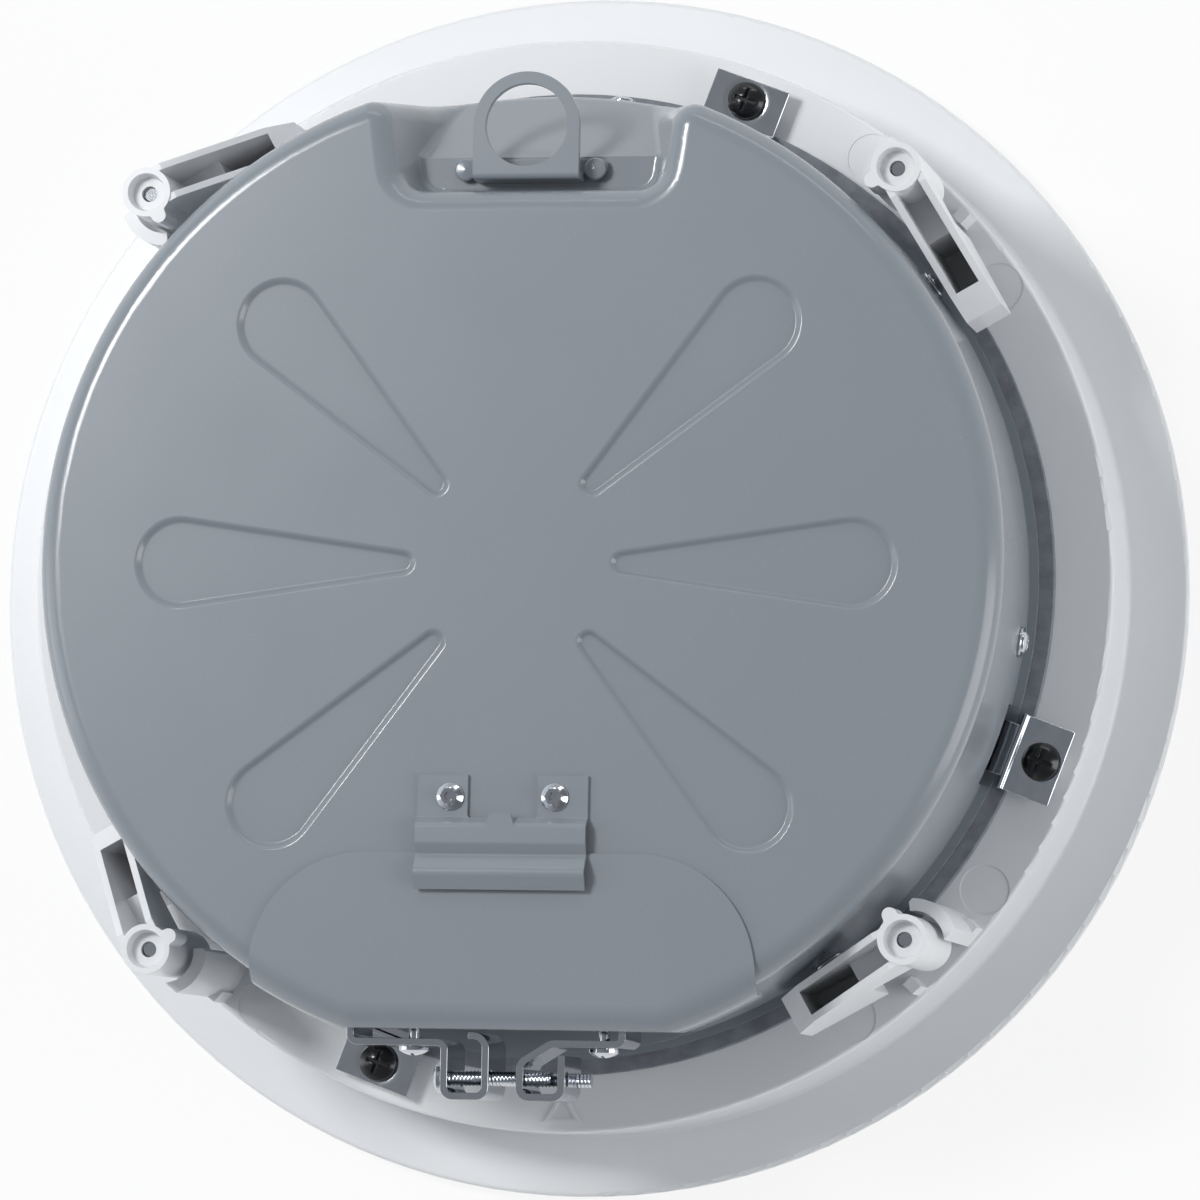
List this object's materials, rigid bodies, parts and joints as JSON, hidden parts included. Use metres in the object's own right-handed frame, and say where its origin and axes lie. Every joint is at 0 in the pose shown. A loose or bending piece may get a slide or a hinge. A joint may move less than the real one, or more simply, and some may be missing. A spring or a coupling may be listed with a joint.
{
  "type": "in ceiling speaker",
  "caption": "Round flush-mount ceiling loudspeaker seen from behind, with a steel back can, swing-out clamps, safety ring and cable clamp.",
  "frame": {"origin": "centre of the front face, which the part lies on", "axes": "+Z from the front grille to the back can, +Y towards the safety ring, +X to its right seen from behind"},
  "size_m": [0.322, 0.322, 0.1143],
  "materials": {
    "white_plastic": "satin moulded plastic, slightly warm white",
    "can_paint": "semi-gloss blue-grey powder coat",
    "grille_paint": "fine matt white paint on perforated steel",
    "foam": "closed-cell foam",
    "zinc": "bright zinc plate",
    "steel": "plain steel",
    "black_steel": "black oxide",
    "ferrite": "sintered ferrite",
    "cone_paper": "coated cone",
    "copper": "enamelled copper winding",
    "black_plastic": "moulded black plastic",
    "surround_rubber": "soft rubber",
    "spider_cloth": "phenolic-treated cloth",
    "dome_cloth": "coated cloth",
    "board": "fibre board with green coat",
    "green_plastic": "green moulded terminal block",
    "pad": "polyester damping felt",
    "laminate": "stacked laminations"
  },
  "bodies": {
    "housing": {"baffle": "white_plastic", "front_grille": "grille_paint", "can_gasket": "foam", "can_collar": "can_paint", "back_can": "can_paint", "can_side_screws": "zinc", "retaining_bracket_1": "zinc", "retaining_bracket_2": "zinc", "retaining_bracket_3": "zinc", "retaining_bracket_4": "zinc", "bracket_screws": "black_steel", "safety_ring_bracket": "can_paint", "safety_ring_rivets": "can_paint", "terminal_cover": "can_paint", "cover_spring_clip": "can_paint", "cover_clip_screws": "zinc", "cable_clamp_fixed_jaw": "zinc", "clamp_fixing_screws": "zinc", "woofer_basket": "black_steel", "woofer_screws": "black_steel", "woofer_top_plate": "steel", "woofer_magnet": "ferrite", "woofer_back_plate": "steel", "woofer_surround": "surround_rubber", "woofer_spider": "spider_cloth", "tweeter_post": "black_plastic", "tweeter_body": "black_plastic", "terminal_cup": "black_plastic", "terminal_block": "green_plastic", "terminal_block_screws": "steel", "transformer_core": "laminate", "transformer_coil": "copper", "transformer_bracket": "steel", "crossover_board": "board", "board_spacers": "black_plastic", "crossover_inductor": "copper", "crossover_capacitors": "black_plastic", "damping_pad": "pad", "tap_switch_body": "black_plastic"},
    "cable_jaw": {"cable_clamp_moving_jaw": "zinc", "cable_clamp_screws": "zinc"},
    "tap_knob": {"tap_switch_knob": "black_plastic"},
    "cone": {"woofer_cone": "cone_paper", "voice_coil": "copper"},
    "dome": {"tweeter_dome": "dome_cloth"},
    "dog_screw_1": {"dog_screw_1": "zinc"},
    "dog_1": {"dog_1": "white_plastic"},
    "dog_screw_2": {"dog_screw_2": "zinc"},
    "dog_2": {"dog_2": "white_plastic"},
    "dog_screw_3": {"dog_screw_3": "zinc"},
    "dog_3": {"dog_3": "white_plastic"},
    "dog_screw_4": {"dog_screw_4": "zinc"},
    "dog_4": {"dog_4": "white_plastic"}
  },
  "joints": [
    {"name": "dog_swing_1", "type": "hinge", "parent": "housing", "child": "dog_screw_1", "pos_m": [0.09524, 0.10001, 0.06], "axis": [0, 0, 1], "range_deg": [0, 107]},
    {"name": "dog_travel_1", "type": "slide", "parent": "dog_screw_1", "child": "dog_1", "axis": [0, 0, -1], "range_m": [0, 0.018]},
    {"name": "dog_swing_2", "type": "hinge", "parent": "housing", "child": "dog_screw_2", "pos_m": [-0.10001, 0.09524, 0.06], "axis": [0, 0, 1], "range_deg": [0, 107]},
    {"name": "dog_travel_2", "type": "slide", "parent": "dog_screw_2", "child": "dog_2", "axis": [0, 0, -1], "range_m": [0, 0.018]},
    {"name": "dog_swing_3", "type": "hinge", "parent": "housing", "child": "dog_screw_3", "pos_m": [-0.09524, -0.10001, 0.06], "axis": [0, 0, 1], "range_deg": [0, 107]},
    {"name": "dog_travel_3", "type": "slide", "parent": "dog_screw_3", "child": "dog_3", "axis": [0, 0, -1], "range_m": [0, 0.018]},
    {"name": "dog_swing_4", "type": "hinge", "parent": "housing", "child": "dog_screw_4", "pos_m": [0.10001, -0.09524, 0.06], "axis": [0, 0, 1], "range_deg": [0, 107]},
    {"name": "dog_travel_4", "type": "slide", "parent": "dog_screw_4", "child": "dog_4", "axis": [0, 0, -1], "range_m": [0, 0.018]},
    {"name": "cable_clamp_slide", "type": "slide", "parent": "housing", "child": "cable_jaw", "axis": [1, 0, 0], "range_m": [0, 0.005]},
    {"name": "tap_switch_turn", "type": "hinge", "parent": "housing", "child": "tap_knob", "pos_m": [-0.10243, -0.03728, 0.01], "axis": [0, 0, -1], "range_deg": [0, 150]},
    {"name": "cone_travel", "type": "slide", "parent": "housing", "child": "cone", "axis": [0, 0, -1], "range_m": [-0.004, 0.004], "stiffness_N_per_m": 1500, "deforming": ["woofer_surround", "woofer_spider"]},
    {"name": "dome_travel", "type": "slide", "parent": "housing", "child": "dome", "axis": [0, 0, -1], "range_m": [-0.0003, 0.0003], "stiffness_N_per_m": 500}
  ],
  "couplings": [
    {"joint": "dog_swing_1", "follows": "dog_travel_1", "rad_per_m": 103.75},
    {"joint": "dog_swing_2", "follows": "dog_travel_2", "rad_per_m": 103.75},
    {"joint": "dog_swing_3", "follows": "dog_travel_3", "rad_per_m": 103.75},
    {"joint": "dog_swing_4", "follows": "dog_travel_4", "rad_per_m": 103.75}
  ]
}
